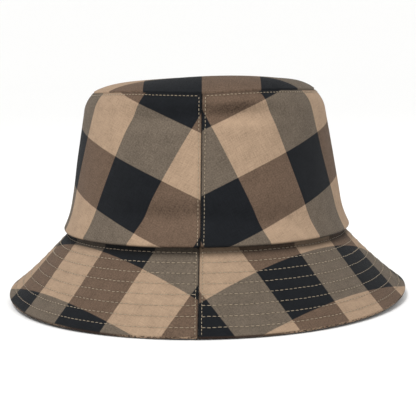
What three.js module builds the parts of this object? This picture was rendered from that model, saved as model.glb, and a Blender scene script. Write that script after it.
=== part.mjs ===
// A lined bucket hat, built from its sewn pieces: a crown top, two crown sides and two brim
// halves in a checked twill, with interlinings behind them, a brim underside, a lining,
// an inner headband and two blank labels. Each piece is one closed solid.
// Millimetres, +Z up. The hat stands on the front and the back of its brim at z = 0,
// with the front seam towards -Y and the wearer's left towards +X.

import * as THREE from 'three';

// ---- Driving dimensions ----

// The crown wall's line at the height of the top seam, the crown's rolled lower edge, and
// the brim's outer edge.
const CROWN_TOP = { halfWidth: 72.2, halfDepth: 75.4, height: 131 };
const CROWN_FOOT = { halfWidth: 90, halfDepth: 100.6, height: 44.2, frontRise: 0.6 };
const BRIM_EDGE = { halfWidth: 123.8, halfDepth: 132.8, height: 2, sideLift: 2 };

const TOP_DOME = { rise: 4.6, flatness: 4 }; // how far the crown top swells above its own seam
const SHOULDER = { end: 0.09, reach: 2.6 }; // the wall's top is drawn in towards its seam
const FLARE = { start: 0.8, reach: 3.1 }; // the crown's last fifth turns outwards
const BRIM_HOLLOW = 0.05; // how far the brim's profile sags below a straight cone
const BRIM_TUCK = { inset: 2.6, drop: 2.2 }; // the brim starts inside and below the crown's roll
const REST_ANGLE = THREE.MathUtils.degToRad(16); // the edge is level this far either side of front and back

// Layers, as depth below the outer surface and thickness.
const TWILL = { depth: 0, thickness: 0.8 };
const INTERLINING = { depth: 1.1, thickness: 0.5 };
const UNDERSIDE = { depth: 1.9, thickness: 0.7 };
const LINING = { depth: 2.3, thickness: 0.5 };
const HEADBAND = { depth: 3.1, thickness: 1 };
const SEAM_GAP = 0.3; // clearance between pieces that are sewn together

const HEADBAND_HEIGHT = 32;
const MAKER_LABEL = { layer: { depth: 4.6, thickness: 0.5 }, width: 46, height: 18, angle: Math.PI };
const CARE_LABEL = { layer: { depth: 3.2, thickness: 0.4 }, width: 22, height: 26, angle: 2.2 };

const FACET = THREE.MathUtils.degToRad(7.5); // every layer turns in the same steps, so gaps stay even
const SEAM_ANGLE = SEAM_GAP / 2 / CROWN_TOP.halfWidth;

const FRONT_TO_BACK_RIGHT = [SEAM_ANGLE, Math.PI - SEAM_ANGLE];
const FRONT_TO_BACK_LEFT = [SEAM_ANGLE - Math.PI, -SEAM_ANGLE];
const BACK_TO_BACK = [SEAM_ANGLE - Math.PI, Math.PI - SEAM_ANGLE];

// ---- Materials ----

const cloth = (color, roughness) => new THREE.MeshStandardMaterial({ color, roughness, metalness: 0 });
const checkedTwill = cloth(0xa8907a, 0.9);
const interliningFelt = cloth(0xe6e2d8, 0.95);
const undersideCotton = cloth(0x4a3a30, 0.9);
const liningCotton = cloth(0x2e2a28, 0.85);
const headbandTwill = cloth(0x26242a, 0.8);
const labelSatin = cloth(0xd9cdb8, 0.6);

// ---- Surfaces: functions of the angle from the front seam and of s, 0 at the top to 1 below ----

const { lerp } = THREE.MathUtils;

function ringPoint(angle, halfWidth, halfDepth, height) {
  return new THREE.Vector3(halfWidth * Math.sin(angle), -halfDepth * Math.cos(angle), height);
}

// The crown's foot stands slightly higher at the front and back than at the sides.
function footHeight(angle) {
  return CROWN_FOOT.height + CROWN_FOOT.frontRise * Math.cos(2 * angle);
}

function crownWall(angle, s) {
  const flare = FLARE.reach * Math.max(0, (s - FLARE.start) / (1 - FLARE.start)) ** 2;
  const shoulder = SHOULDER.reach * Math.max(0, 1 - s / SHOULDER.end) ** 2;
  const bend = flare - shoulder;
  const halfWidth = lerp(CROWN_TOP.halfWidth, CROWN_FOOT.halfWidth - FLARE.reach, s) + bend;
  const halfDepth = lerp(CROWN_TOP.halfDepth, CROWN_FOOT.halfDepth - FLARE.reach, s) + bend;
  const height = lerp(CROWN_TOP.height, footHeight(angle), s);
  return ringPoint(angle, halfWidth, halfDepth, height);
}

// The top panel lies over the upper ends of the side panels, one thickness and a gap above them.
function crownLid(angle, s) {
  const swell = TOP_DOME.rise * (1 - s ** TOP_DOME.flatness);
  const height = CROWN_TOP.height + SEAM_GAP + TWILL.thickness + swell;
  const halfWidth = (CROWN_TOP.halfWidth - SHOULDER.reach) * s;
  const halfDepth = (CROWN_TOP.halfDepth - SHOULDER.reach) * s;
  return ringPoint(angle, halfWidth, halfDepth, height);
}

function brimEdgeLift(angle) {
  const level = Math.sin(REST_ANGLE) ** 2;
  return BRIM_EDGE.sideLift * Math.max(0, Math.sin(angle) ** 2 - level) / (1 - level);
}

function brimSlope(angle, s) {
  const outward = s + BRIM_HOLLOW * s * (s - 1);
  const halfWidth = lerp(CROWN_FOOT.halfWidth - BRIM_TUCK.inset, BRIM_EDGE.halfWidth, outward);
  const halfDepth = lerp(CROWN_FOOT.halfDepth - BRIM_TUCK.inset, BRIM_EDGE.halfDepth, outward);
  const innerHeight = footHeight(angle) - BRIM_TUCK.drop;
  const height = lerp(innerHeight, BRIM_EDGE.height + brimEdgeLift(angle), s);
  return ringPoint(angle, halfWidth, halfDepth, height);
}

// The same surface, moved inwards by a depth along its own normal.
function below(surface, depth) {
  const step = 1e-3;
  return (angle, s) => {
    const around = surface(angle + step, s).sub(surface(angle - step, s));
    const down = surface(angle, s + step).sub(surface(angle, s - step));
    const inwards = new THREE.Vector3().crossVectors(around, down).normalize();
    return surface(angle, s).addScaledVector(inwards, depth);
  };
}

// A distance down the crown's wall, as a difference in s.
function wallFraction(distance) {
  return distance / (CROWN_TOP.height - CROWN_FOOT.height);
}

// ---- Closed solids ----

function evenSteps(from, to, count) {
  return Array.from({ length: count + 1 }, (_, i) => lerp(from, to, i / count));
}

// Joins two grids of points, an outer and an inner one, into one closed solid. Each grid is
// a list of rows from the top down. A first row of one point is a pole, and a closed grid
// joins its last column to its first.
function solidBetween(outer, inner, closed) {
  const positions = [];
  const indices = [];
  const numberRow = (row) => row.map((point) => positions.push(...point.toArray()) / 3 - 1);
  const outside = outer.map(numberRow);
  const inside = inner.map(numberRow);
  const hasPole = outer[0].length === 1;
  const last = outer.length - 1;
  const columns = outer[last].length - (closed ? 0 : 1);
  const at = (grid, row, column) => grid[row][column % grid[row].length];

  const quad = (a, b, c, d) => indices.push(a, b, c, a, c, d);
  for (let column = 0; column < columns; column++) {
    const next = column + 1;
    for (let row = 0; row < last; row++) {
      const cell = (grid) => [
        at(grid, row, column), at(grid, row + 1, column), at(grid, row + 1, next), at(grid, row, next),
      ];
      if (hasPole && row === 0) {
        const [pole, left, right] = cell(outside);
        const [innerPole, innerLeft, innerRight] = cell(inside);
        indices.push(pole, left, right, innerPole, innerRight, innerLeft);
      } else {
        quad(...cell(outside));
        quad(...cell(inside).reverse());
      }
    }
    quad(at(outside, last, column), at(inside, last, column), at(inside, last, next), at(outside, last, next));
    if (!hasPole) {
      quad(at(outside, 0, next), at(inside, 0, next), at(inside, 0, column), at(outside, 0, column));
    }
  }
  if (!closed) {
    const end = columns;
    for (let row = 0; row < last; row++) {
      quad(at(outside, row, 0), at(inside, row, 0), at(inside, row + 1, 0), at(outside, row + 1, 0));
      quad(at(outside, row + 1, end), at(inside, row + 1, end), at(inside, row, end), at(outside, row, end));
    }
  }
  const geometry = new THREE.BufferGeometry();
  geometry.setAttribute('position', new THREE.Float32BufferAttribute(positions, 3));
  geometry.setIndex(indices);
  geometry.computeVertexNormals();
  return geometry;
}

// A panel of one layer, over a range of angles and a list of s values.
function panel(surface, layer, [fromAngle, toAngle], rows) {
  const angles = evenSteps(fromAngle, toAngle, Math.round((toAngle - fromAngle) / FACET));
  const grid = (depth) => rows.map((s) => angles.map((angle) => below(surface, depth)(angle, s)));
  return solidBetween(grid(layer.depth), grid(layer.depth + layer.thickness), false);
}

// A whole round lid of one layer, inset from the seam by the layer's own depth.
function lid(layer) {
  const angles = evenSteps(-Math.PI, Math.PI, Math.round(2 * Math.PI / FACET)).slice(0, -1);
  const reach = 1 - layer.depth / (CROWN_TOP.halfWidth - SHOULDER.reach);
  const rings = [0.5, 0.78, 0.92, 1].map((s) => s * reach);
  const lowered = (angle, s, depth) => crownLid(angle, s).add(new THREE.Vector3(0, 0, -depth));
  const grid = (depth) => [
    [lowered(0, 0, depth)],
    ...rings.map((s) => angles.map((angle) => lowered(angle, s, depth))),
  ];
  return solidBetween(grid(layer.depth), grid(layer.depth + layer.thickness), true);
}

// The brim's underside runs on down its own slope to a level rim, which the hat stands on.
function brimUnderside(angleRange) {
  const rows = evenSteps(0, 1, 3);
  const geometry = panel(brimSlope, UNDERSIDE, angleRange, rows);
  const position = geometry.getAttribute('position');
  const columns = position.count / rows.length / 2;
  for (let column = 0; column < columns; column++) {
    for (const rim of [rows.length - 1, 2 * rows.length - 1]) {
      const above = new THREE.Vector3().fromBufferAttribute(position, (rim - 1) * columns + column);
      const edge = new THREE.Vector3().fromBufferAttribute(position, rim * columns + column);
      const ground = brimEdgeLift(Math.atan2(edge.x, -edge.y));
      const reach = (above.z - ground) / (above.z - edge.z);
      edge.lerpVectors(above, edge, reach).setZ(ground);
      position.setXYZ(rim * columns + column, ...edge);
    }
  }
  geometry.computeVertexNormals();
  return geometry;
}

// A small blank label that lies against the wall, with its top edge at s = topEdge.
function wallLabel({ layer, width, height, angle }, topEdge) {
  const halfAngle = width / 2 / CROWN_FOOT.halfWidth;
  const rows = [topEdge, topEdge + wallFraction(height)];
  return panel(crownWall, layer, [angle - halfAngle, angle + halfAngle], rows);
}

// ---- The hat ----

const hat = new THREE.Group();

function addPiece(name, geometry, material) {
  const piece = new THREE.Mesh(geometry, material);
  piece.name = name;
  hat.add(piece);
  return piece;
}

const headbandFoot = 0.98;
const headbandTop = headbandFoot - wallFraction(HEADBAND_HEIGHT);

const crownRows = [0, 0.03, SHOULDER.end, 0.45, FLARE.start, 0.87, 0.94, 1];
const interliningRows = [wallFraction(1), SHOULDER.end, 0.45, FLARE.start, 0.89, 0.98];
const liningRows = [wallFraction(2.4), SHOULDER.end, 0.45, FLARE.start, 0.87, 0.94];
const headbandRows = [headbandTop, FLARE.start, 0.89, headbandFoot];

addPiece('crown_top', lid(TWILL), checkedTwill);
addPiece('crown_top_interlining', lid(INTERLINING), interliningFelt);
addPiece('lining_top', lid(LINING), liningCotton);

const sides = { left: FRONT_TO_BACK_LEFT, right: FRONT_TO_BACK_RIGHT };
for (const [side, angleRange] of Object.entries(sides)) {
  addPiece(`crown_side_${side}`, panel(crownWall, TWILL, angleRange, crownRows), checkedTwill);
  addPiece(`crown_interlining_${side}`, panel(crownWall, INTERLINING, angleRange, interliningRows), interliningFelt);
  addPiece(`lining_side_${side}`, panel(crownWall, LINING, angleRange, liningRows), liningCotton);
  addPiece(`brim_top_${side}`, panel(brimSlope, TWILL, angleRange, evenSteps(0, 1, 3)), checkedTwill);
  addPiece(`brim_interlining_${side}`, panel(brimSlope, INTERLINING, angleRange, evenSteps(0.02, 0.97, 2)), interliningFelt);
  addPiece(`brim_under_${side}`, brimUnderside(angleRange), undersideCotton);
}

addPiece('headband', panel(crownWall, HEADBAND, BACK_TO_BACK, headbandRows), headbandTwill);
addPiece('maker_label', wallLabel(MAKER_LABEL, headbandTop + wallFraction(6)), labelSatin);
addPiece('care_label', wallLabel(CARE_LABEL, headbandTop - wallFraction(CARE_LABEL.height + 1)), labelSatin);

export default hat;
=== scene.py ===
"""A lined bucket hat in checked twill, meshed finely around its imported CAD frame.

Lengths are millimetres until a mesh is made. Angles run from the front seam, at -Y,
towards +X. On every panel s runs from 0 at the upper edge to 1 at the lower edge.
"""

import math

import bpy
import numpy as np
from mathutils import Matrix, Vector


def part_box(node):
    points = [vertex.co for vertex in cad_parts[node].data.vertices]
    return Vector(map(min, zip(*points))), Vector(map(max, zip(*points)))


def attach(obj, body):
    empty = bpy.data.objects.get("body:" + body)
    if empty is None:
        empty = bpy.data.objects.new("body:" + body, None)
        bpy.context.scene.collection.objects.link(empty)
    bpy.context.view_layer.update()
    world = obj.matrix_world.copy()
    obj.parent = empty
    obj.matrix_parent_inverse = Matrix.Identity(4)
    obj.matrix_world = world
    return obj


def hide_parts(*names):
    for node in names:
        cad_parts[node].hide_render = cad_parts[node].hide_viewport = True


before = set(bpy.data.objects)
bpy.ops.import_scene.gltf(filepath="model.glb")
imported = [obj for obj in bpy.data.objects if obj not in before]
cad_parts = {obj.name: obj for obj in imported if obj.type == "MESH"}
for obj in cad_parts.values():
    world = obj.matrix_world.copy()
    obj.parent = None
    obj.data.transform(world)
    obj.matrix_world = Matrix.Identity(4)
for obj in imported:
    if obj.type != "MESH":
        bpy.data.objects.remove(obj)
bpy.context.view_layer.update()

MM = 0.001


def extent(node):
    """The lowest and highest corner of a CAD node, in millimetres."""
    low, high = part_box(node)
    return np.array(low) / MM, np.array(high) / MM


# ---- Sizes from the frame ----

SEAM_HALF = extent("crown_top")[1][:2]
LID_TOP = extent("crown_top")[1][2]
SEAM_HEIGHT = extent("crown_side_right")[1][2]
FOOT_HALF = extent("crown_side_right")[1][:2]
FOOT_ABOVE_BRIM = 1.0
FOOT_SIDE_HEIGHT = extent("brim_top_right")[1][2] + FOOT_ABOVE_BRIM
EDGE_HALF = extent("brim_top_right")[1][:2]

# ---- Sizes of the cloth's own shape ----

# The crown: its foot line, rounded shoulder, top seam, flared foot and top.
FRONT_RISE = 0.6
SHOULDER_REACH, SHOULDER_SIDE_REACH = 2.6, 1.6
SHOULDER_END, SHOULDER_SIDE_END = 0.09, 0.04
SEAM_SIDE_DROP, SEAM_FRONT_DIP, SEAM_DIP_ANGLE = 3.0, 1.3, 0.42
FLARE_START, FLARE_REACH = 0.8, 3.1
LID_FLATNESS, LID_FULLNESS, LID_SAG, LID_TILT = 6.5, 2.3, 2.0, 0.8

# The brim: its inner edge, its slope and its sides, flicked up about one angle.
BRIM_INSET, BRIM_DROP = 3.6, 2.2
BRIM_HOLLOW = 0.05
BRIM_EDGE_HEIGHT = 2.0
SIDE_LIFT, SIDE_FLICK = 2.0, 3.0
FLICK_START, FLICK_ANGLE, FLICK_SPREAD = 0.45, 1.75, 0.5
REST_ANGLE = math.radians(16)

# Slant heights; where each cloth turns into its hem or edge, as s; its turn in radians at s = 0
# and s = 1; the radius of the turned edge; and how far the hem then runs up inside.
WALL_SLANT, BRIM_SLANT = 88.7, 53.0
WALL_END, BRIM_END = 0.976, 0.985
WALL_TWIST, BRIM_TWIST = (0.025, 0.004), (-0.004, -0.002)
HEM_RADIUS, EDGE_RADIUS = 1.4, 1.3
HEM_STEPS = np.array([1.0, 2.0, 3.0])

# Thickness of each cloth, and how deep it lies under the upper cloth's face.
TWILL = 0.8
INTERLINING = 0.5
LID_INTERLINING_DEPTH, WALL_INTERLINING_DEPTH, BRIM_INTERLINING_DEPTH = 1.1, 1.5, 1.3
LINING = 0.5
LID_LINING_DEPTH, WALL_LINING_DEPTH = 2.3, 2.8
UNDERSIDE_DEPTH, UNDERSIDE = 2.6, 0.7

# The headband's thickness, heights and width, and how far it lies outside the oval of the top
# seam at its upper edge and inside the oval of the crown's foot at its lower edge.
HEADBAND, HEADBAND_TOP, HEADBAND_FOOT, HEADBAND_DEPTH = 1.0, 76.5, 41.3, 36.0
HEADBAND_REACH, HEADBAND_INSET = 6.9, 4.8

# ---- Sewing ----

# Rows on the brim and headband are given by s; rows beside a seam in millimetres from it.
BRIM_ROWS = 0.136 + 0.127 * np.arange(7)
JOINT_ROW = 0.012
HEADBAND_ROW = 0.93
SEAM_ROW = {-1: 1.6, 1: 1.9}
LID_ROW = 1.5
STITCH_PITCH, STITCH_LENGTH, THREAD_RADIUS = 3.0, 2.5, 0.18
FINE_PITCH, FINE_LENGTH = 2.3, 1.75

# ---- The check: where each panel's squares lie on its flat pattern ----

# A corner between squares, then one square's step along each of the two yarn directions, in mm.
WALL_YARNS = {
    -1: ((-20.4, -68.6), (32.1, 16.4), (-17.3, 29.2)),
    1: ((52.9, -85.6), (-31.6, 16.0), (15.7, 29.3)),
}
BRIM_YARNS = {
    -1: ((-41.1, -68.4), (-19.4, 30.2), (28.0, 19.8)),
    1: ((60.4, -35.1), (19.7, 27.5), (-28.1, 19.5)),
}
LID_YARNS = ((-32.3, -77.7), (34.1, 1.2), (-1.2, 34.1))
CHECK = 34.1

# Soft bulges and hollows in the crown's side: angle, s, half-width in each, height.
DENTS = [
    (0.26, 0.155, 0.26, 0.055, -2.3),
    (0.30, 0.065, 0.34, 0.035, 0.8),
    (-0.40, 0.17, 0.26, 0.060, -1.6),
    (-0.22, 0.81, 0.34, 0.075, -2.4),
    (0.55, 0.86, 0.30, 0.080, -1.4),
    (0.95, 0.55, 0.22, 0.250, -0.7),
]

# Half the gap between two panels at a seam, in radians, and the seam allowance of a flat cut.
SEAM_GAP = 0.0006
ALLOWANCE, ALLOWANCE_SHARE = 8.0, 0.06
SIDES = {"left": -1, "right": 1}
FULL_TURN = np.linspace(-math.pi, math.pi, 1441)


# ---- Surfaces ----


def blend(a, b, t):
    """From a where t is 0 to b where t is 1."""
    return a + (b - a) * t


def ring(angle, half_width, half_depth, height):
    """Points of a level oval."""
    x = half_width * np.sin(angle)
    y = -half_depth * np.cos(angle)
    return np.stack(np.broadcast_arrays(x, y, height), axis=-1)


def foot_height(angle):
    """The line where crown and brim meet, highest at the front and back."""
    return FOOT_SIDE_HEIGHT + FRONT_RISE * (1 + np.cos(2 * angle))


def seam_drop(angle):
    """How far the crown's top seam sinks below its level: at both sides, and a little in front."""
    dip = SEAM_FRONT_DIP * np.exp(-((angle / SEAM_DIP_ANGLE) ** 2))
    return SEAM_SIDE_DROP * np.sin(angle) ** 4 + dip


def trimmed(angle, s):
    """How far down the untrimmed cone a point of the crown's side lies."""
    return s + (1 - s) * seam_drop(angle) / WALL_SLANT


def wall_line(angle, s):
    """The crown's side as it is cut, without its rounded shoulder."""
    return wall_cone(angle, trimmed(angle, s))


def wall_cone(angle, s):
    """The crown's side as a level-topped cone with a flared foot."""
    flare = FLARE_REACH * np.clip((s - FLARE_START) / (1 - FLARE_START), 0, None) ** 2
    top = SEAM_HALF + SHOULDER_REACH
    foot = FOOT_HALF - FLARE_REACH
    height = blend(SEAM_HEIGHT, foot_height(angle), s)
    return ring(angle, blend(top[0], foot[0], s) + flare, blend(top[1], foot[1], s) + flare, height)


def shoulder_reach(angle):
    """How far the crown's top edge is rounded off: more at the sides than in front."""
    return SHOULDER_REACH + SHOULDER_SIDE_REACH * np.sin(angle) ** 4


def wall(angle, s):
    """The crown's side with its shoulder rounded towards the top seam."""
    end = SHOULDER_END + SHOULDER_SIDE_END * np.sin(angle) ** 4
    shoulder = shoulder_reach(angle) * np.clip(1 - s / end, 0, None) ** 2
    return wall_line(angle, s) - ring(angle, shoulder, shoulder, 0)


def lid(angle, s):
    """The crown's top: a low cushion inside the wall's upper edge, fullest towards the front."""
    edge = wall(angle, 0 * s)
    x, y = s * np.sin(angle), -s * np.cos(angle)
    height = blend(edge[..., 2] + 0.5, LID_TOP, 1 - s**LID_FLATNESS)
    fullness = LID_FULLNESS * np.exp(-(((y + 0.66) / 0.3) ** 2) - ((x - 0.2) / 0.7) ** 2)
    sag = LID_SAG * np.exp(-(((y - 0.35) / 0.6) ** 2))
    height = height + fullness * (1 - s**8) - sag * (1 - s**4) + LID_TILT * x * (1 - s**12)
    return np.stack([edge[..., 0] * s, edge[..., 1] * s, height], axis=-1)


def brim(angle, s):
    """The brim's slope, with its sides flicked up; below s = 0 it turns up inside the crown."""
    level = math.sin(REST_ANGLE) ** 2
    lift = SIDE_LIFT * np.clip(np.sin(angle) ** 2 - level, 0, None) / (1 - level)
    slope = np.clip(s, 0, None)
    upturn = np.clip(-s, 0, None) * BRIM_SLANT
    outer = np.clip((slope - FLICK_START) / (1 - FLICK_START), 0, None)
    flick = SIDE_FLICK * outer**2 * np.exp(-(((np.abs(angle) - FLICK_ANGLE) / FLICK_SPREAD) ** 2))
    out = slope + BRIM_HOLLOW * slope * (slope - 1)
    inner = FOOT_HALF - BRIM_INSET
    height = blend(foot_height(angle) - BRIM_DROP, BRIM_EDGE_HEIGHT + lift, slope) + upturn + flick
    return ring(angle, blend(inner[0], EDGE_HALF[0], out), blend(inner[1], EDGE_HALF[1], out), height)


def headband_face(angle, s):
    """The headband's outer face, a straight cone inside the crown's foot."""
    top = SEAM_HALF + HEADBAND_REACH
    foot = FOOT_HALF - HEADBAND_INSET
    height = blend(HEADBAND_TOP, HEADBAND_FOOT, s)
    return ring(angle, blend(top[0], foot[0], s), blend(top[1], foot[1], s), height)


def twisted(surface, start, stop):
    """A surface turned about the upright axis, by start at its upper edge and stop at its lower."""
    return lambda angle, s: surface(angle + blend(start, stop, s), s)


def outward(surface, angle, s):
    """The surface's unit normal, away from the hat's inside."""
    step = 1e-3
    around = surface(angle + step, s) - surface(angle - step, s)
    down = surface(angle, s + step) - surface(angle, s - step)
    normal = np.cross(down, around)
    return normal / np.linalg.norm(normal, axis=-1, keepdims=True)


def raised(surface, relief):
    """A surface moved outwards by relief(angle, s)."""

    def skin(angle, s):
        height = np.broadcast_to(relief(angle, s), np.broadcast(angle, s).shape)
        return surface(angle, s) + outward(surface, angle, s) * height[..., None]

    return skin


# ---- Small shapes pressed into the cloth ----


def smooth_noise(x, y, seed):
    """Smooth random heights from -1 to 1, with one random value per unit of x and of y."""
    size = 128
    table = np.random.default_rng(seed).uniform(-1, 1, (size, size))
    x, y = np.broadcast_arrays(x, y)
    i, j = np.floor(x).astype(int), np.floor(y).astype(int)
    u, v = x - i, y - j
    u, v = u * u * (3 - 2 * u), v * v * (3 - 2 * v)
    near = blend(table[i % size, j % size], table[(i + 1) % size, j % size], u)
    far = blend(table[i % size, (j + 1) % size], table[(i + 1) % size, (j + 1) % size], u)
    return blend(near, far, v)


def groove(distance, run, pitch, depth=0.24, width=0.75):
    """A stitched groove: deepest where the needle goes in, every pitch along the run."""
    holes = 1 + 0.4 * np.cos(2 * np.pi * run / pitch)
    return -depth * np.exp(-((distance / width) ** 2)) * holes


def tucked_edge(distance, radius=0.7):
    """A cloth edge that turns down into its seam."""
    t = np.clip(1 - distance / radius, 0, 1)
    return -1.1 * radius * (1 - np.sqrt(1 - t * t))


def sewn_seam(across, run, seed):
    """The opened seam allowances under a seam, its rows of stitches and its puckers."""
    distance = np.abs(across)
    row = np.where(across < 0, SEAM_ROW[-1], SEAM_ROW[1])
    swell = 0.28 * np.exp(-((distance / 1.9) ** 4))
    pucker = 0.16 * np.exp(-distance / 5) * smooth_noise(run / 2.6, distance / 9, seed)
    stitched = groove(distance - row, run, FINE_PITCH, 0.2, 0.6)
    return swell + pucker + tucked_edge(distance) + stitched


def wall_drape(angle, s):
    """The soft, uneven stand of the crown's side, which every layer of it shares."""
    broad = 0.5 * smooth_noise(angle * 2.1 + 20, s * 2.4, 5)
    fine = 0.15 * smooth_noise(angle * 7 + 40, s * 6, 6)
    drape = (broad + fine) * np.clip(s * 7, 0, 1)
    for at_angle, at_s, wide, tall, height in DENTS:
        drape = drape + height * np.exp(-(((angle - at_angle) / wide) ** 2) - ((s - at_s) / tall) ** 2)
    return drape


def wall_lean(angle, s):
    """How much the drape tips the crown's side, for painted shade and light: below zero it faces down
    and is painted in shade, above zero it faces up and is painted lighter, by a smaller share.
    """
    step = 1e-3
    lean = (wall_drape(angle, s + step) - wall_drape(angle, s - step)) / (2 * step * WALL_SLANT)
    return np.where(lean > 0, 0.55 * lean, lean)


def brim_drape(angle, s):
    """The soft, uneven slope of the brim, which every layer of it shares."""
    return 0.5 * smooth_noise(angle * 2.2 + 30, s * 1.5, 12) * np.clip(s * 2, 0, 1)


def wall_relief(angle, s):
    """What stands proud of the crown's side: seams, rows of stitches, puckers and drape."""
    base = wall_line(angle, s)
    down = s * WALL_SLANT
    seam = sewn_seam(base[..., 0], down, 3)
    run = angle * base[..., 0].max()
    top_pucker = 0.14 * np.exp(-down / 5) * smooth_noise(run / 3.0, down / 9, 4)
    top = groove(down - LID_ROW, run, FINE_PITCH, 0.16, 0.6) + top_pucker + tucked_edge(down)
    return seam + top + wall_drape(angle, s)


def lid_relief(angle, s):
    """What stands proud of the crown's top: its tucked edge, puckers and drape."""
    inwards = (1 - s) * SEAM_HALF[0]
    run = angle * SEAM_HALF[0]
    pucker = 0.14 * np.exp(-inwards / 4) * smooth_noise(run / 3.0 + 60, inwards / 9, 7)
    x, y = s * np.sin(angle), s * np.cos(angle)
    drape = 0.4 * smooth_noise(x * 2.5 + 20, y * 2.5 + 20, 8)
    return tucked_edge(inwards) + pucker + drape * np.clip(inwards / 15, 0, 1)


def run_length(points):
    """The distance along a line of points, from its first."""
    steps = np.linalg.norm(np.diff(points, axis=0), axis=-1)
    return np.concatenate([[0], np.cumsum(steps)])


def brim_relief(angle, s):
    """What stands proud of the brim: its seams, its quilted rows and its drape."""
    base = brim(angle, s)
    height = sewn_seam(base[..., 0], s * BRIM_SLANT, 11)
    for number, row in enumerate([JOINT_ROW, *BRIM_ROWS]):
        length = run_length(brim(FULL_TURN, row + 0 * FULL_TURN))
        run = np.interp(angle, FULL_TURN, length - length[len(length) // 2])
        distance = (s - row) * BRIM_SLANT
        height = height + groove(distance, run, STITCH_PITCH, 0.2, 0.7)
        ripple = smooth_noise(run / 3.4 + 50, distance / 5 + 50, 20 + number)
        height = height + 0.13 * np.exp(-((distance / 3) ** 2)) * ripple
    return height + brim_drape(angle, s)


def underside_relief(angle, s):
    """The underside is seen from below, so its relief is the upper cloth's turned over."""
    run = angle * EDGE_HALF[0]
    height = tucked_edge(np.abs(brim(angle, s)[..., 0]))
    for row in BRIM_ROWS:
        height = height + groove((s - row) * BRIM_SLANT, run, STITCH_PITCH, 0.2, 0.7)
    return brim_drape(angle, s) - height - UNDERSIDE_DEPTH


def headband_relief(angle, s):
    """Slight waves, and a pressed-in line where the band is sewn on."""
    from_row = (s - HEADBAND_ROW) * HEADBAND_DEPTH
    pressed = groove(from_row, angle * FOOT_HALF[0], STITCH_PITCH, -0.15, 0.8)
    return 0.3 * smooth_noise(angle * 4 + 40, s * 1.2, 41) + pressed


wall_skin = raised(twisted(wall, *WALL_TWIST), wall_relief)
lid_skin = raised(lid, lid_relief)
brim_skin = raised(twisted(brim, *BRIM_TWIST), brim_relief)
underside_skin = raised(twisted(brim, *BRIM_TWIST), underside_relief)
headband_skin = raised(headband_face, headband_relief)
headband_inside = raised(headband_face, lambda angle, s: headband_relief(angle, s) - HEADBAND)


# ---- Flat patterns ----


def flat_pattern(surface, angle, s):
    """Where a point of a cone-like panel lies on its flat cut, from the front seam."""
    turn = FULL_TURN
    middle = len(turn) // 2
    slants = np.linspace(0, 1, 41)
    lines = [surface(turn, q + 0 * turn) for q in slants]
    top, centre, bottom = (np.diff(run_length(lines[row])) for row in (0, 20, 40))
    steps = [np.linalg.norm(lower - upper, axis=-1) for upper, lower in zip(lines, lines[1:])]
    lengths = np.cumsum([0 * turn, *steps], axis=0)
    height = (lengths[-1][1:] + lengths[-1][:-1]) / 2
    bend = np.concatenate([[0], np.cumsum((bottom - top) / height)])
    bend -= bend[middle]
    mid_bend = (bend[1:] + bend[:-1]) / 2
    x = np.concatenate([[0], np.cumsum(centre * np.cos(mid_bend))])
    y = np.concatenate([[0], np.cumsum(-centre * np.sin(mid_bend))])
    x -= x[middle]
    y -= y[middle]
    mean_line = lengths.mean(axis=1)
    down = np.interp(s, slants, mean_line - np.interp(0.5, slants, mean_line))
    down = np.where(s > 1, down + (s - 1) * mean_line[-1], down)
    down = np.where(s < 0, down + s * mean_line[-1], down)
    tilt = np.interp(angle, turn, bend)
    return np.stack([
        np.interp(angle, turn, x) + down * np.sin(tilt),
        np.interp(angle, turn, y) + down * np.cos(tilt),
    ], axis=-1)


def to_squares(flat, yarns):
    """Flat millimetres to check squares along the two yarn directions; even squares are dark."""
    corner, across, along = (np.array(part) for part in yarns)
    return (flat - corner) @ np.linalg.inv(np.array([across, along]))


def wall_weave(side, angle, s):
    flat = flat_pattern(wall_cone, angle, trimmed(angle, s))
    return to_squares(flat, WALL_YARNS[side])


def brim_weave(side, angle, s):
    return to_squares(flat_pattern(brim, angle, s), BRIM_YARNS[side])


def lid_weave(angle, s):
    return to_squares(lid(angle, s)[..., :2], LID_YARNS)


# ---- Meshes ----


def graded(start, stop, spacing):
    """Positions from start to stop whose gaps follow spacing(position)."""
    dense = np.linspace(start, stop, 6001)
    middles = (dense[1:] + dense[:-1]) / 2
    count = np.concatenate([[0], np.cumsum(np.diff(dense) / spacing(middles))])
    steps = int(math.ceil(count[-1]))
    return np.interp(np.linspace(0, count[-1], steps + 1), count, dense)


def mesh_object(name, points, faces, uv=None, marks=None):
    """An object from points in millimetres, with its weave coordinates and marks for the shader."""
    mesh = bpy.data.meshes.new(name)
    mesh.from_pydata((points * MM).tolist(), [], faces)
    mesh.shade_smooth()
    if uv is not None:
        layer = mesh.uv_layers.new(name="weave")
        corners = np.empty(len(mesh.loops), dtype=np.int32)
        mesh.loops.foreach_get("vertex_index", corners)
        layer.data.foreach_set("uv", uv[corners].ravel().astype(np.float32))
    for label, values in (marks or {}).items():
        attribute = mesh.attributes.new(label, "FLOAT", "POINT")
        attribute.data.foreach_set("value", values.astype(np.float32))
    piece = bpy.data.objects.new(name, mesh)
    bpy.context.scene.collection.objects.link(piece)
    return piece


def grid_normals(points):
    """Outward normals of a grid whose rows go down and whose columns go round."""
    down = np.gradient(points, axis=0)
    around = np.gradient(points, axis=1)
    normal = np.cross(down, around)
    return normal / np.linalg.norm(normal, axis=-1, keepdims=True)


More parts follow.
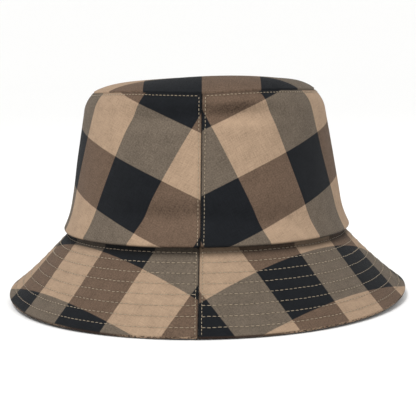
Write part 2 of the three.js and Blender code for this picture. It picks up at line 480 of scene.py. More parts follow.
def shell(name, points, thickness, uv=None, marks=None, flip=1):
    """A closed cloth of one thickness behind a grid of points, rows going down."""
    rows, columns = points.shape[:2]
    behind = points - flip * thickness * grid_normals(points)
    number = np.arange(rows * columns).reshape(rows, columns)
    front, back = number, number + rows * columns

    def quads(a, b, c, d):
        return np.stack([a, b, c, d], axis=-1).reshape(-1, 4)

    def strip(a, b):
        return quads(a[:-1], b[:-1], b[1:], a[1:])

    faces = np.concatenate([
        quads(front[:-1, :-1], front[1:, :-1], front[1:, 1:], front[:-1, 1:]),
        quads(back[:-1, 1:], back[1:, 1:], back[1:, :-1], back[:-1, :-1]),
        strip(front[-1], back[-1]),
        strip(back[0], front[0]),
        strip(back[:, -1], front[:, -1]),
        strip(front[:, 0], back[:, 0]),
    ])
    if flip < 0:
        faces = faces[:, ::-1]
    both = np.concatenate([points.reshape(-1, 3), behind.reshape(-1, 3)])
    uv = None if uv is None else np.concatenate([uv.reshape(-1, 2)] * 2)
    marks = {word: np.concatenate([mark.ravel()] * 2) for word, mark in (marks or {}).items()}
    return mesh_object(name, both, faces.tolist(), uv, marks)


def disc_shell(name, points, thickness, uv):
    """A closed round cloth behind rings of points that grow from a centre to an edge."""
    rows, columns = points.shape[:2]
    centre = points[0].mean(axis=0)
    count = rows * columns
    number = np.arange(count).reshape(rows, columns)
    following = np.roll(number, -1, axis=1)
    down = np.array([0, 0, thickness])
    under = points - down
    upper_pole, lower_pole = 2 * count, 2 * count + 1

    def band(a, b, c, d):
        return np.stack([a, b, c, d], axis=-1).reshape(-1, 4).tolist()

    faces = band(number[:-1], number[1:], following[1:], following[:-1])
    faces += band(following[:-1] + count, following[1:] + count, number[1:] + count, number[:-1] + count)
    faces += band(number[-1], number[-1] + count, following[-1] + count, following[-1])
    for a, b in zip(number[0].tolist(), following[0].tolist()):
        faces += [[upper_pole, a, b], [lower_pole, b + count, a + count]]
    extra = np.stack([centre, centre - down])
    both = np.concatenate([points.reshape(-1, 3), under.reshape(-1, 3), extra])
    flat_uv = uv.reshape(-1, 2)
    uv = np.concatenate([flat_uv, flat_uv, [flat_uv[:columns].mean(axis=0)] * 2])
    return mesh_object(name, both, faces, uv)


def grid(angles, rows):
    """The angle and s of every point of a grid."""
    return np.meshgrid(angles, rows)


def half_turn(side, spacing):
    """Angles from the front seam to the back seam of one side, close together at both."""
    half = SEAM_HALF[0]

    def gap(angle):
        from_seam = np.minimum(angle, math.pi - angle) * half
        return (0.25 + (spacing - 0.25) * np.clip(from_seam / 9, 0, 1) ** 0.8) / half

    angles = graded(SEAM_GAP, math.pi - SEAM_GAP, gap)
    return angles if side > 0 else -angles[::-1]


def turned_edge(points, normals, downs, radius, turns, upturn):
    """Rows that roll under from the last row: an arc of the given turns, then a straight upturn."""
    centre = points - normals * radius
    arc = [centre + radius * (normals * math.cos(t) + downs * math.sin(t)) for t in turns]
    last = turns[-1]
    inwards = downs * math.cos(last) - normals * math.sin(last)
    return arc + [arc[-1] + inwards * length for length in upturn]


def last_frame(points):
    """The last row's points, its normals and the direction the rows run in."""
    normals = grid_normals(points)[-1]
    downs = points[-1] - points[-2]
    downs = downs / np.linalg.norm(downs, axis=-1, keepdims=True)
    return points[-1], normals, downs


# ---- Panels ----


def flat_area(flat):
    """The area of a flat cut, from the two diagonals of each of its small quads."""
    a = flat[1:, 1:] - flat[:-1, :-1]
    b = flat[1:, :-1] - flat[:-1, 1:]
    return np.abs(a[..., 0] * b[..., 1] - a[..., 1] * b[..., 0]).sum() / 2


def ready(made, node, material):
    """Finish a panel: its material and its place in the frame, with its CAD node hidden; the size of its
    flat cut is worked out and not kept.
    """
    piece, flat = made
    piece.data.materials.append(material)
    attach(piece, "root")
    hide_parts(node)
    size = np.ptp(flat.reshape(-1, 2), axis=0)
    share = min(flat_area(flat) / size.prod(), 1.0)
    cut = (size + 2 * np.minimum(ALLOWANCE, ALLOWANCE_SHARE * size)) * MM
    share * cut.prod()


def seam_crease(base):
    """1 in the crease of the front seam or the back seam, and 0 away from it."""
    return np.exp(-((base[..., 0] / 0.5) ** 2))


def wall_spacing(down):
    """Gaps between rows of the crown's side, in millimetres: small at both edges."""
    return 0.3 + 1.3 * np.clip(np.minimum(down - 3, WALL_SLANT - down) / 12, 0, 1)


def crown_side(name, side):
    """One half of the crown's side, turned up into a hem at its foot."""
    rows = graded(0, WALL_END * WALL_SLANT, wall_spacing) / WALL_SLANT
    angle, s = grid(half_turn(side, 1.4), rows)
    points = wall_skin(angle, s)
    turns = np.radians(np.arange(20, 181, 20))
    hem = turned_edge(*last_frame(points), HEM_RADIUS, turns, HEM_STEPS)
    hem_run = HEM_RADIUS * np.concatenate([turns, turns[-1:] + HEM_STEPS])
    points = np.concatenate([points, np.array(hem)])
    angle, s = grid(angle[0], np.concatenate([rows, WALL_END + hem_run / WALL_SLANT]))
    pattern = flat_pattern(wall_line, angle, s)
    return shell(name, points, TWILL, wall_weave(side, angle, s), wall_marks(side, angle, s)), pattern


def wall_marks(side, angle, s):
    """Where the crown's side is sewn, which way it leans for painted shade and light, and where painted
    shade darkens its creases.
    """
    line = wall_line(angle, s)
    down = s * WALL_SLANT
    beside_seam = np.exp(-((np.abs(line[..., 0]) - SEAM_ROW[side]) ** 2))
    under_lid = np.exp(-((down - LID_ROW) ** 2))
    top_crease = 0.8 * np.exp(-down / 0.7)
    hem_crease = np.clip(down - WALL_END * WALL_SLANT - 1.0, 0, 1)
    return {
        # sewn: for painted shade along the rows of stitches.
        "sewn": beside_seam + under_lid,
        # lean: painted shade and light from the drape's slope.
        "lean": wall_lean(angle, s),
        # crease: painted shade in the seams' creases, under the top seam and inside the hem's turn.
        "crease": seam_crease(line) + top_crease + hem_crease,
    }


def crown_lid(name):
    """The crown's top, in rings that lie close together at its edge."""
    inwards = graded(0, SEAM_HALF[0] * 0.985, lambda d: 0.25 + 1.5 * np.clip(d / 10, 0, 1))
    rings = (1 - inwards / SEAM_HALF[0])[::-1]
    angle, s = grid(np.linspace(-math.pi, math.pi, 361)[:-1], rings)
    points = lid_skin(angle, s)
    return disc_shell(name, points, TWILL, lid_weave(angle, s)), points[..., :2]


def brim_spacing(s):
    """Gaps between rows of the brim, as shares of its slant: small at the stitches."""
    rows = np.array([JOINT_ROW, *BRIM_ROWS, BRIM_END])
    distance = np.abs(s[:, None] - rows).min(axis=1) * BRIM_SLANT
    return (0.4 + 1.0 * np.clip(distance / 2.2, 0, 1)) / BRIM_SLANT


def brim_upper(name, side):
    """The brim's upper cloth, turned up inside the crown and folded under at the edge."""
    rows = graded(-0.07, BRIM_END, brim_spacing)
    angle, s = grid(half_turn(side, 0.95), rows)
    points = brim_skin(angle, s)
    turns = np.radians(np.arange(15, 106, 15))
    edge = turned_edge(*last_frame(points), EDGE_RADIUS, turns, [])
    points = np.concatenate([points, np.array(edge)])
    angle, s = grid(angle[0], np.concatenate([rows, BRIM_END + EDGE_RADIUS * turns / BRIM_SLANT]))
    marks = {
        "sewn": sewn_brim(angle, s),
        "fold": np.clip((s - BRIM_END) * BRIM_SLANT * 2 - 1.2, 0, 1),
        # crease: painted shade in the seam's crease and in the band under the crown's foot.
        "crease": seam_crease(brim(angle, s)) + np.clip(1.3 - s / 0.07, 0, 1),
    }
    return shell(name, points, TWILL, brim_weave(side, angle, s), marks), flat_pattern(brim, angle, s)


def sewn_brim(angle, s):
    """1 along the brim's rows of stitches, and 0 away from them."""
    seam_distance = np.abs(brim(angle, s)[..., 0])
    mark = np.exp(-((seam_distance - SEAM_ROW[1]) ** 2))
    for row in [JOINT_ROW, *BRIM_ROWS]:
        mark = mark + np.exp(-(((s - row) * BRIM_SLANT) ** 2))
    return mark


def brim_underside(name, side):
    """The brim's underside, whose edge turns up to meet the upper cloth's."""
    rows = graded(0, BRIM_END, brim_spacing)
    angle, s = grid(half_turn(side, 1.4), rows)
    points = underside_skin(angle, s)
    point, normal, direction = last_frame(points)
    turns = np.radians(np.arange(15, 76, 15))
    edge = turned_edge(point, -normal, direction, EDGE_RADIUS, turns, [])
    points = np.concatenate([points, np.array(edge)])
    angle, s = grid(angle[0], np.concatenate([rows, BRIM_END + EDGE_RADIUS * turns / BRIM_SLANT]))
    flat = flat_pattern(brim, angle, s)
    return shell(name, points, UNDERSIDE, flat / CHECK, {"sewn": sewn_brim(angle, s)}, flip=-1), flat


def hidden_layer(name, surface, drape, side, rows, depth, thickness):
    """A layer between two others, which follows the cloth above it."""
    angle, s = grid(half_turn(side, 2.5), rows)
    points = raised(surface, lambda a, q: drape(a, q) - depth)(angle, s)
    flat = flat_pattern(surface, angle, s)
    return shell(name, points, thickness, flat / CHECK), flat


def lining_relief(angle, s):
    """The lining hangs inside the crown's side with soft creases, and its seam stands in."""
    broad = 0.35 * smooth_noise(angle * 5 + 30, s * 3, 31)
    fine = 0.15 * smooth_noise(angle * 16 + 30, s * 5, 32)
    seam = 0.5 * np.exp(-((wall_line(angle, s)[..., 0] / 1.5) ** 2))
    return wall_drape(angle, s) + seam - broad - fine - WALL_LINING_DEPTH


def lining_side(name, side):
    """One half of the lining inside the crown's side."""
    rows = graded(0.0, 0.95, lambda q: 0.004 + 0.012 * np.clip(q / 0.1, 0, 1))
    angle, s = grid(half_turn(side, 1.6), rows)
    points = raised(wall, lining_relief)(angle, s)
    flat = flat_pattern(wall_line, angle, s)
    return shell(name, points, LINING, flat / CHECK), flat


def lining_lid(name, depth, thickness, shrink, spacing):
    """A round layer under the crown's top, smaller all round by shrink."""
    rings = np.linspace(0.02, 1 - shrink / SEAM_HALF[0], int(SEAM_HALF[0] / spacing))
    angle, s = grid(np.linspace(-math.pi, math.pi, 241)[:-1], rings)
    points = lid(angle, s) - np.array([0, 0, depth])
    return disc_shell(name, points, thickness, lid_weave(angle, s)), points[..., :2]


def headband(name):
    """The ribbon inside the crown's foot, whose two ends meet at the back."""
    turn = np.linspace(-math.pi + SEAM_GAP, math.pi - SEAM_GAP, 420)
    angle, s = grid(turn, np.linspace(0, 1, 40))
    points = headband_skin(angle, s)
    length = np.broadcast_to(run_length(points[len(points) // 2]), s.shape)
    uv = np.stack([length, s * HEADBAND_DEPTH], axis=-1)
    return shell(name, points, HEADBAND, uv), uv


def label(name, surface, centre, half_width, top, bottom, depth, thickness):
    """A small woven label that lies on the inside of a surface."""
    half_angle = half_width / FOOT_HALF[0]
    turn = np.linspace(centre - half_angle, centre + half_angle, 40)
    angle, s = grid(turn, np.linspace(top, bottom, 24))
    u = (angle - centre) / half_angle
    v = 2 * (s - top) / (bottom - top) - 1
    curl = 0.25 * (np.abs(u) ** 6 + np.abs(v) ** 6)
    skin = raised(surface, lambda a, q: -depth - curl)
    uv = np.stack([u, v], axis=-1) / 2 + 0.5
    height = np.linalg.norm(surface(angle[:1], s[:1]) - surface(angle[-1:], s[-1:]), axis=-1).mean()
    return shell(name, skin(angle, s), thickness, uv), uv * np.array([2 * half_width, height])


# ---- Stitches ----

# Along one stitch: place, height over the cloth, girth, and how far it is in the needle hole's shade.
STATIONS = np.array([-0.5, -0.45, -0.36, -0.18, 0.0, 0.18, 0.36, 0.45, 0.5])
LIFT = np.array([-0.45, -0.12, 0.12, 0.2, 0.22, 0.2, 0.12, -0.12, -0.45])
GIRTH = np.array([0.4, 0.8, 1.0, 1.06, 1.08, 1.06, 1.0, 0.8, 0.4])
SHADE = np.array([1.0, 0.85, 0.25, 0.0, 0.0, 0.0, 0.25, 0.85, 1.0])
SIDES_OF_THREAD = 6


def stitches(name, skin, lines, pitch, length, facing, seed, dark):
    """One short thread for each stitch along the lines, which are lists of angles and of s."""
    random = np.random.default_rng(seed)
    beta = np.arange(SIDES_OF_THREAD) * 2 * math.pi / SIDES_OF_THREAD
    all_points = []
    for angle, s in lines:
        path = skin(angle, s)
        run = run_length(path)
        count = max(1, round(run[-1] / pitch))
        centre = (np.arange(count) + 0.5) * run[-1] / count
        reach = length * random.uniform(0.92, 1.06, (count, 1))
        at = np.clip(centre[:, None] + reach * STATIONS, 0, run[-1])
        a, q = np.interp(at, run, angle), np.interp(at, run, s)
        normal = facing * outward(skin, a, q)
        place = skin(a, q) + normal * LIFT[:, None]
        tangent = np.gradient(place, axis=1)
        across = np.cross(normal, tangent)
        across = across / np.linalg.norm(across, axis=-1, keepdims=True)
        place = place + across * random.normal(0, 0.06, (count, 1, 1))
        radius = THREAD_RADIUS * GIRTH[:, None, None]
        wheel = across[:, :, None] * np.cos(beta)[:, None] + normal[:, :, None] * np.sin(beta)[:, None]
        all_points.append(place[:, :, None] + radius * wheel)
    points = np.concatenate(all_points)
    return thread_mesh(name, points, dark)


def thread_mesh(name, points, dark):
    """Six-sided tubes through rings of points, each end closed by two quads."""
    count, stations, sides = points.shape[:3]
    number = np.arange(count * stations * sides).reshape(count, stations, sides)
    following = np.roll(number, -1, axis=2)
    tube = np.stack([number[:, :-1], following[:, :-1], following[:, 1:], number[:, 1:]], axis=-1)
    tube = tube.reshape(-1, 4)
    first, last = number[:, 0], number[:, -1]
    caps = [first[:, [3, 2, 1, 0]], first[:, [5, 4, 3, 0]], last[:, [0, 1, 2, 3]], last[:, [0, 3, 4, 5]]]
    faces = np.concatenate([tube, *caps]).tolist()
    along = np.broadcast_to(STATIONS[None, :, None] * STITCH_LENGTH, (count, stations, sides))
    round_it = np.broadcast_to(np.arange(sides) / sides, (count, stations, sides))
    uv = np.stack([along, round_it], axis=-1).reshape(-1, 2)
    shade = np.broadcast_to(np.maximum(SHADE, dark)[None, :, None], (count, stations, sides)).ravel()
    return mesh_object(name, points.reshape(-1, 3), faces, uv, {"shade": shade})


def ring_lines(rows, clear=0.0):
    """Both halves of each ring, from just beside the front seam to just beside the back one."""
    turn = np.linspace(0.012 + clear, math.pi - 0.012 - clear, 700)
    return [(side * turn, row + 0 * turn) for row in rows for side in (-1, 1)]


def seam_lines(surface, start, stop):
    """A line on each side of the front seam and of the back seam."""
    s = np.linspace(start, stop, 200)
    lines = []
    for seam in (0.0, math.pi):
        half = np.abs(surface(math.pi / 2 + 0 * s, s)[..., 0])
        lines += [(side * np.abs(seam - SEAM_ROW[side] / half), s) for side in (-1, 1)]
    return lines


def sewn(name, skin, lines, pitch, material, facing=1, seed=1, length=STITCH_LENGTH, dark=0.0):
    """Rows of stitches as one piece; dark is the least shade along a stitch."""
    piece = stitches(name, skin, lines, pitch, length, facing, seed, dark)
    piece.data.materials.append(material)
    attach(piece, "root")
    return piece


# ---- Materials ----


def linear(red, green, blue):
    """An 8-bit screen colour as the linear colour that a shader takes."""
    def channel(value):
        value = value / 255
        return value / 12.92 if value <= 0.04045 else ((value + 0.055) / 1.055) ** 2.4

    return (channel(red), channel(green), channel(blue), 1.0)


class Shader:
    """A material whose nodes are added and joined by plain calls."""

    def __init__(self, name):
        self.material = bpy.data.materials.new(name)
        self.material.use_nodes = True
        self.tree = self.material.node_tree
        self.tree.nodes.clear()

    def node(self, kind, inputs=(), out=0, **settings):
        node = self.tree.nodes.new(kind)
        for key, value in settings.items():
            setattr(node, key, value)
        for key, value in dict(inputs).items():
            if isinstance(value, bpy.types.NodeSocket):
                self.tree.links.new(value, node.inputs[key])
            else:
                node.inputs[key].default_value = value
        return node.outputs[out]

    def maths(self, operation, *values):
        return self.node("ShaderNodeMath", dict(enumerate(values)), operation=operation)

    def mix(self, factor, a, b, blend_type="MIX"):
        inputs = {0: factor, 6: a, 7: b}
        return self.node("ShaderNodeMix", inputs, out=2, data_type="RGBA", blend_type=blend_type)

    def noise(self, vector, scale, detail=2.0):
        inputs = {"Vector": vector, "Scale": scale, "Detail": detail}
        return self.node("ShaderNodeTexNoise", inputs, out=0)

    def stretch(self, vector, x, y):
        inputs = {0: vector, 1: (x, y, 1.0)}
        return self.node("ShaderNodeVectorMath", inputs, operation="MULTIPLY")

    def uv(self):
        return self.node("ShaderNodeUVMap", uv_map="weave")

    def split(self, vector):
        """The x, y and z parts of a vector."""
        node = self.tree.nodes.new("ShaderNodeSeparateXYZ")
        self.tree.links.new(vector, node.inputs[0])
        return node.outputs

    def mark(self, name):
        return self.node("ShaderNodeAttribute", out=2, attribute_name=name)

    def between(self, value, low, high, to_low=0.0, to_high=1.0):
        """A value from low to high, carried over to the range to_low to to_high."""
        inputs = {0: value, 1: low, 2: high, 3: to_low, 4: to_high}
        return self.node("ShaderNodeMapRange", inputs)

    def finish(self, color, roughness, bump_height=None, bump_mm=0.1, sheen=0.2, specular=0.3):
        inputs = {
            "Base Color": color,
            "Roughness": roughness,
            "Sheen Weight": sheen,
            "Sheen Roughness": 0.5,
            "Specular IOR Level": specular,
        }
        if bump_height is not None:
            inputs["Normal"] = self.node(
                "ShaderNodeBump", {"Height": bump_height, "Distance": bump_mm * MM, "Strength": 1.0}
            )
        surface = self.node("ShaderNodeBsdfPrincipled", inputs)
        output = self.tree.nodes.new("ShaderNodeOutputMaterial")
        self.tree.links.new(surface, output.inputs["Surface"])
        return self.material


def twill_ribs(shader, x, y, pitch):
    """Diagonal ribs of a twill, 0 to 1, from millimetres along the two yarns."""
    diagonal = shader.maths("ADD", x, y)
    wave = shader.maths("SINE", shader.maths("MULTIPLY", diagonal, 2 * math.pi / pitch))
    return shader.between(wave, -1.0, 1.0)


def slubs(shader, millimetres):
    """Unevenness of the yarns, as fine streaks along both of them, about 0.5."""
    warp = shader.noise(shader.stretch(millimetres, 2.6, 0.16), 1.0)
    weft = shader.noise(shader.stretch(millimetres, 0.16, 2.6), 1.0)
    return shader.maths("MULTIPLY", shader.maths("ADD", warp, weft), 0.5)


TAN = linear(154, 131, 109)
BROWN = linear(94, 77, 64)
OLIVE = linear(96, 86, 75)
BLACK = linear(22, 24, 27)
# Near black, for the shade painted into creases and into the band under the crown's foot.
PAINTED_CREASE_SHADE = linear(10, 9, 8)
FOLD_DARK = linear(48, 36, 29)


def dark_band(shader, coordinate, wobble):
    """1 over even squares and 0 over odd ones, with a yarn's softness between."""
    shifted = shader.maths("ADD", shader.maths("MULTIPLY", coordinate, 0.5), 0.25)
    from_middle = shader.maths("SUBTRACT", shader.maths("FRACT", shifted), 0.5)
    from_middle = shader.maths("ABSOLUTE", from_middle)
    ragged = shader.maths("ADD", from_middle, centred(shader, wobble, 0.004))
    return shader.between(ragged, 0.2475, 0.2525, 1.0, 0.0)


def centred(shader, pattern, depth):
    """A pattern from 0 to 1 as a change about nothing, depth high in all."""
    return shader.maths("MULTIPLY", shader.maths("SUBTRACT", pattern, 0.5), depth)


def check_twill():
    """The upper cloth: squares of four colours, their ribs and yarns, painted shade in creases, and a
    fold that turns dark brown as it turns under, with lighter rubbed flecks.
    """
    shader = Shader("check_twill")
    uv = shader.uv()
    millimetres = shader.stretch(uv, CHECK, CHECK)
    wobble = shader.noise(shader.stretch(millimetres, 1.5, 1.5), 1.0)
    u, v, _ = shader.split(uv)
    across = dark_band(shader, u, wobble)
    along = dark_band(shader, v, wobble)
    base = shader.mix(along, shader.mix(across, TAN, OLIVE), shader.mix(across, BROWN, BLACK))
    x, y, _ = shader.split(millimetres)
    ribs = twill_ribs(shader, x, y, 0.8)
    streaks = slubs(shader, millimetres)
    mixed = shader.maths("ABSOLUTE", shader.maths("SUBTRACT", across, along))
    gain = shader.maths("ADD", twill_tone(shader, millimetres, ribs, streaks, mixed), 1.0)
    grey = shader.node("ShaderNodeCombineXYZ", {0: gain, 1: gain, 2: gain})
    color = shader.mix(1.0, base, grey, "MULTIPLY")
    # Painted shade: the cloth is darkened towards near black in creases, in the hem's turn and in the
    # brim's band under the crown's foot.
    crease = shader.maths("MINIMUM", shader.mark("crease"), 1.0)
    color = shader.mix(shader.maths("MULTIPLY", crease, 0.7), color, PAINTED_CREASE_SHADE)
    # Where the brim's edge turns under, the cloth turns dark brown, with lighter rubbed flecks.
    fold = shader.mix(worn_patches(shader, millimetres), FOLD_DARK, TAN)
    color = shader.mix(shader.maths("MULTIPLY", shader.mark("fold"), 0.85), color, fold)
    height = shader.maths("ADD", shader.maths("MULTIPLY", ribs, 0.5), streaks)
    roughness = shader.between(streaks, 0.3, 0.7, 0.95, 0.8)
    return shader.finish(color, roughness, height, 0.12, sheen=0.02, specular=0.1)


def twill_tone(shader, millimetres, ribs, streaks, mixed):
    """Lighter and darker parts: ribs and grain, strongest where the yarns' two colours differ; painted
    shade along stitched rows; painted shade where the drape faces down and painted light where it faces
    up.
    """
    cloudy = shader.noise(shader.stretch(millimetres, 0.12, 0.12), 1.0, 3.0)
    grain = shader.noise(shader.stretch(millimetres, 1.1, 1.1), 1.0, 3.0)
    parts = [
        centred(shader, streaks, 1.1),
        centred(shader, cloudy, 0.4),
        centred(shader, grain, shader.between(mixed, 0.0, 1.0, 0.4, 1.2)),
        # Painted shade along the stitched rows, where the needle holes and grooves are.
        shader.maths("MULTIPLY", shader.mark("sewn"), -0.05),
        # Painted shade where the drape faces down, and painted light where it faces up.
        shader.maths("MULTIPLY", shader.mark("lean"), 0.7),
    ]
    tone = centred(shader, ribs, shader.between(mixed, 0.0, 1.0, 0.1, 0.4))
    for part in parts:
        tone = shader.maths("ADD", tone, part)
    return tone


def worn_patches(shader, millimetres):
    """Flecks where the brim's folded edge is rubbed, gathered in patches."""
    flecks = shader.noise(shader.stretch(millimetres, 0.9, 0.9), 1.0, 0.0)
    patches = shader.noise(shader.stretch(millimetres, 0.025, 0.025), 1.0, 0.0)
    return shader.maths(
        "MULTIPLY", shader.between(flecks, 0.42, 0.56), shader.between(patches, 0.42, 0.55)
    )


def blended(shader, a, share_of_a, b, share_of_b):
    """Two patterns added in the given shares."""
    part_a = shader.maths("MULTIPLY", a, share_of_a)
    part_b = shader.maths("MULTIPLY", b, share_of_b)
    return shader.maths("ADD", part_a, part_b)


def plain_cloth(name, dark, light, rib_pitch, bump_mm, sheen=0.2):
    """A cloth of one colour, woven finely and slightly uneven."""
    shader = Shader(name)
    millimetres = shader.stretch(shader.uv(), CHECK, CHECK)
    x, y, _ = shader.split(millimetres)
    ribs = twill_ribs(shader, x, y, rib_pitch)
    streaks = slubs(shader, millimetres)
    level = blended(shader, ribs, 0.45, streaks, 0.55)
    color = shader.mix(shader.between(level, 0.25, 0.8), dark, light)
    return shader.finish(color, 0.85, level, bump_mm, sheen=sheen, specular=0.2)


def grosgrain():
    """Ribbon with ribs across its width."""
    rib_pitch = 1.1
    shader = Shader("grosgrain")
    uv = shader.uv()
    along, _, _ = shader.split(uv)
    rib = shader.maths("SINE", shader.maths("MULTIPLY", along, 2 * math.pi / rib_pitch))
    rib = shader.between(rib, -1.0, 1.0)
    streak = shader.noise(shader.stretch(uv, 0.9, 0.2), 1.0)
    level = blended(shader, rib, 0.7, streak, 0.3)
    color = shader.mix(level, linear(24, 22, 24), linear(58, 54, 56))
    return shader.finish(color, 0.55, rib, 0.25, sheen=0.1, specular=0.4)


def satin_label():
    """A blank woven label with a thin border."""
    shader = Shader("satin_label")
    uv = shader.uv()
    x, y, _ = shader.split(uv)
    edges = [shader.maths("MINIMUM", part, shader.maths("SUBTRACT", 1.0, part)) for part in (x, y)]
    inset = shader.maths("MINIMUM", shader.maths("MULTIPLY", edges[0], 2.2), edges[1])
    line = shader.maths("COMPARE", inset, 0.14, 0.02)
    warp = shader.noise(shader.stretch(uv, 160.0, 8.0), 1.0)
    cloth = shader.mix(warp, linear(206, 192, 168), linear(226, 214, 192))
    color = shader.mix(line, cloth, linear(96, 80, 66))
    return shader.finish(color, 0.45, warp, 0.05, sheen=0.1, specular=0.45)


def twisted_thread():
    """Polyester thread: plies that wind round it, with painted shade where it dips into the cloth."""
    shader = Shader("twisted_thread")
    along, round_it, _ = shader.split(shader.uv())
    wind = shader.maths("ADD", shader.maths("MULTIPLY", along, 1.4), round_it)
    ply = shader.maths("SINE", shader.maths("MULTIPLY", wind, 4 * math.pi))
    ply = shader.between(ply, -1.0, 1.0)
    lit = shader.mix(ply, linear(146, 131, 109), linear(174, 158, 133))
    # Painted shade: the thread turns dark brown where it dips into its needle holes.
    color = shader.mix(shader.mark("shade"), lit, linear(70, 58, 47))
    return shader.finish(color, 0.5, ply, 0.06, sheen=0.1, specular=0.4)


# ---- Build ----

twill = check_twill()
interlining = plain_cloth("interlining", linear(205, 200, 188), linear(232, 228, 218), 0.9, 0.06)
underside = plain_cloth("underside", linear(58, 44, 36), linear(98, 78, 64), 0.8, 0.12)
lining = plain_cloth("lining", linear(40, 35, 33), linear(66, 59, 56), 0.5, 0.05, sheen=0.3)
ribbon = grosgrain()
satin = satin_label()
thread = twisted_thread()

WALL_INTERLINING_ROWS = np.linspace(0.03, 0.93, 60)
BRIM_INTERLINING_ROWS = np.linspace(0.03, 0.96, 30)


def wall_interlining(name, side):
    return hidden_layer(
        name, wall, wall_drape, side, WALL_INTERLINING_ROWS, WALL_INTERLINING_DEPTH, INTERLINING
    )


def brim_interlining(name, side):
    return hidden_layer(
        name, brim, brim_drape, side, BRIM_INTERLINING_ROWS, BRIM_INTERLINING_DEPTH, INTERLINING
    )


ready(crown_lid("crown_top_cloth"), "crown_top", twill)
top_interlining = lining_lid(
    "crown_top_interlining_cloth", LID_INTERLINING_DEPTH, INTERLINING, shrink=2.0, spacing=3
)
ready(top_interlining, "crown_top_interlining", interlining)
top_lining = lining_lid("lining_top_cloth", LID_LINING_DEPTH, LINING, shrink=1.0, spacing=2)
ready(top_lining, "lining_top", lining)

# Each sort of panel comes in a left and a right half: maker, name, slot and material.
HALVES = [
    (crown_side, "crown_side", "checked_twill", twill),
    (wall_interlining, "crown_interlining", "interlining", interlining),
    (lining_side, "lining_side", "lining", lining),
    (brim_upper, "brim_top", "checked_twill", twill),
    (brim_interlining, "brim_interlining", "interlining", interlining),
    (brim_underside, "brim_under", "brim_underside", underside),
]
for word, side in SIDES.items():
    for make, part, slot, material in HALVES:
        ready(make(f"{part}_{word}_cloth", side), f"{part}_{word}", material)

ready(headband("headband_ribbon"), "headband", ribbon)
maker_label = label(
    "maker_label_cloth", headband_face, centre=math.pi, half_width=23, top=0.22, bottom=0.7,
    depth=HEADBAND + 0.7, thickness=0.5,
)
ready(maker_label, "maker_label", satin)
care_label = label(
    "care_label_cloth", wall, centre=2.2, half_width=11, top=0.29, bottom=0.6,
    depth=3.6, thickness=0.4,
)
ready(care_label, "care_label", satin)

crown_seams = seam_lines(wall_line, 0.022, 0.985)
crown_top_row = ring_lines([LID_ROW / WALL_SLANT], clear=0.02)
brim_seams = seam_lines(brim, 0.0, 0.985)
brim_rows = ring_lines(BRIM_ROWS)
fine = {"pitch": FINE_PITCH, "length": FINE_LENGTH, "material": thread}
plain = {"pitch": STITCH_PITCH, "material": thread}

sewn("stitches_crown_seams", wall_skin, crown_seams, seed=1, **fine)
sewn("stitches_crown_top", wall_skin, crown_top_row, seed=2, **fine)
sewn("stitches_brim_seams", brim_skin, brim_seams, seed=3, **fine)
sewn("stitches_brim_rows", brim_skin, brim_rows, seed=4, **plain)
# The joint row's thread lies in the crease under the crown's foot, so it is painted in shade all along.
sewn("stitches_joint", brim_skin, ring_lines([JOINT_ROW]), seed=7, dark=0.7, **plain)
sewn("stitches_underside_rows", underside_skin, brim_rows, facing=-1, seed=5, **plain)
sewn("stitches_headband", headband_inside, ring_lines([HEADBAND_ROW]), facing=-1, seed=6, **plain)


# ---- Floor, light and camera ----

FLOOR_COLOR = linear(253, 253, 252)
WORLD_STRENGTH = 0.93
KEY_PLACE, KEY_SIZE, KEY_POWER = (-0.45, -1.4, 1.75), 0.5, 24
LIT_POINT = (0, 0, 0.07)

# The camera: how far it stands from its target, its lens, and its turn, height and roll in degrees.
CAMERA_TARGET, CAMERA_DISTANCE = (1.14, 0, 54.5), 850
CAMERA_LENS, SENSOR = 117.026, 36
CAMERA_AZIMUTH, CAMERA_ELEVATION, CAMERA_ROLL = 2.26, 7.35, 0.98


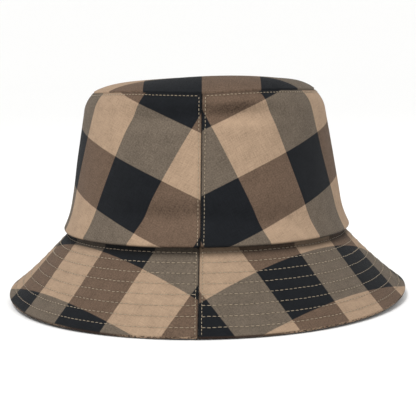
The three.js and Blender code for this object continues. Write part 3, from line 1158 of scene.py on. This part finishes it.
def floor():
    """A pale dish: flat under the hat, and rising smoothly far away all round."""
    radii = np.array([0.0, 400, 1200, 2000, 2400, 2800, 3200, 3600, 4000])
    heights = np.array([0.0, 0.0, 0.0, 0.0, 40, 160, 380, 700, 1100])
    turn = np.linspace(0, 2 * math.pi, 97)[:-1]
    points = [[0.0, 0.0, -0.05]]
    for radius, height in zip(radii[1:], heights[1:]):
        points += [[radius * math.cos(t), radius * math.sin(t), height - 0.05] for t in turn]
    count = len(turn)
    faces = [[0, 1 + i, 1 + (i + 1) % count] for i in range(count)]
    for band in range(len(radii) - 2):
        first, second = 1 + band * count, 1 + (band + 1) * count
        for i in range(count):
            j = (i + 1) % count
            faces.append([first + i, second + i, second + j, first + j])
    dish = mesh_object("studio_floor", np.array(points), faces)
    shader = Shader("studio_floor")
    dish.data.materials.append(shader.finish(FLOOR_COLOR, 0.9, sheen=0.0, specular=0.1))


def soft_light(name, place, size, power):
    """A round lamp that faces the hat."""
    data = bpy.data.lights.new(name, "AREA")
    data.shape = "DISK"
    data.size = size
    data.energy = power
    light = bpy.data.objects.new(name, data)
    bpy.context.scene.collection.objects.link(light)
    light.location = place
    facing = Vector(LIT_POINT) - Vector(place)
    light.rotation_euler = facing.to_track_quat("-Z", "Y").to_euler()


def studio_light():
    """An even white surround with one soft lamp above the photographer."""
    world = bpy.data.worlds.new("studio")
    world.use_nodes = True
    background = world.node_tree.nodes["Background"]
    background.inputs["Color"].default_value = (1, 1, 1, 1)
    background.inputs["Strength"].default_value = WORLD_STRENGTH
    bpy.context.scene.world = world
    soft_light("key", KEY_PLACE, KEY_SIZE, KEY_POWER)
    bpy.context.scene.view_settings.view_transform = "Standard"


def camera():
    """The photo's viewpoint."""
    azimuth = math.radians(CAMERA_AZIMUTH)
    elevation = math.radians(CAMERA_ELEVATION)
    roll = math.radians(CAMERA_ROLL)
    back = Vector((
        math.sin(azimuth) * math.cos(elevation),
        -math.cos(azimuth) * math.cos(elevation),
        math.sin(elevation),
    ))
    level = Vector((math.cos(azimuth), math.sin(azimuth), 0))
    up = back.cross(level)
    right = level * math.cos(roll) - up * math.sin(roll)
    top = level * math.sin(roll) + up * math.cos(roll)
    data = bpy.data.cameras.new("camera")
    data.sensor_width = SENSOR
    data.lens = CAMERA_LENS
    view = bpy.data.objects.new("camera", data)
    bpy.context.scene.collection.objects.link(view)
    place = (Vector(CAMERA_TARGET) + back * CAMERA_DISTANCE) * MM
    view.matrix_world = Matrix((
        (right.x, top.x, back.x, place.x),
        (right.y, top.y, back.y, place.y),
        (right.z, top.z, back.z, place.z),
        (0, 0, 0, 1),
    ))
    bpy.context.scene.camera = view


floor()
studio_light()
camera()
